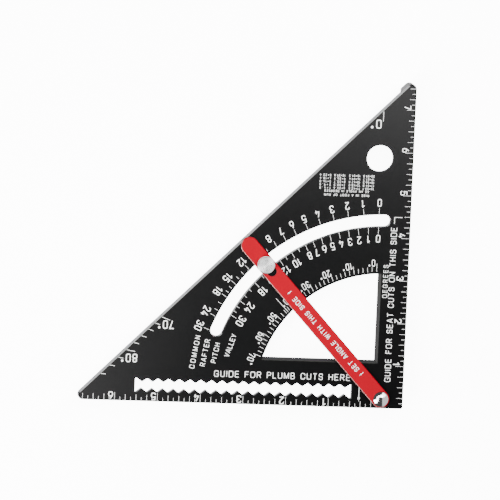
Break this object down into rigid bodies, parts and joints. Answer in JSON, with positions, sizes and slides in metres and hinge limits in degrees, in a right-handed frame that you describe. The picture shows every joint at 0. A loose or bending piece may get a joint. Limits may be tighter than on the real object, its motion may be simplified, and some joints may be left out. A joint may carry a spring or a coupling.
{
  "type": "rafter square with pivoted arm",
  "caption": "Black right-triangle rafter square with a fence, curved slot, window, scribing notches and a red pivoted arm held by a thumb nut.",
  "frame": {"origin": "under the middle of the plate's outline, level with the foot of the fence", "axes": "+Z out of the marked face, +X towards the edge with the fence, +Y up along that edge from the right-angle corner"},
  "size_m": [0.1932, 0.1932, 0.0233],
  "materials": {
    "plate_black": "satin black anodised aluminium, bare on the long edge and in the slots",
    "arm_red": "satin red anodised aluminium",
    "pivot_chrome": "polished",
    "knob_steel": "turned face with a fine knurl",
    "washer_steel": "zinc plated",
    "bolt_steel": "zinc plated",
    "nylon_white": "matt white nylon, also the printed marks",
    "nylon_black": "matt black nylon"
  },
  "bodies": {
    "square": {"square_body": "plate_black", "pivot_bolt": "pivot_chrome", "pivot_washer": "nylon_white", "pivot_back_washer": "washer_steel", "pivot_nut": "washer_steel"},
    "arm": {"layout_arm": "arm_red", "lock_bolt": "bolt_steel", "lock_pad": "nylon_black", "lock_glide": "nylon_white"},
    "knob_seat": {"knob_washer": "washer_steel"},
    "knob": {"lock_knob": "knob_steel"}
  },
  "joints": [
    {"name": "arm_swing", "type": "hinge", "parent": "square", "child": "arm", "pos_m": [0.08298, -0.09078, 0.0167], "axis": [0, 0, 1], "range_deg": [-40.2, 25.3]},
    {"name": "lock_lift", "type": "slide", "parent": "arm", "child": "knob_seat", "axis": [0, 0, 1], "range_m": [0, 0.0012]},
    {"name": "lock_turn", "type": "hinge", "parent": "knob_seat", "child": "knob", "pos_m": [0.01116, -0.01268, 0.02], "axis": [0, 0, 1], "range_deg": [0, 540]}
  ],
  "couplings": [
    {"joint": "lock_turn", "follows": "lock_lift", "rad_per_m": 7854}
  ]
}
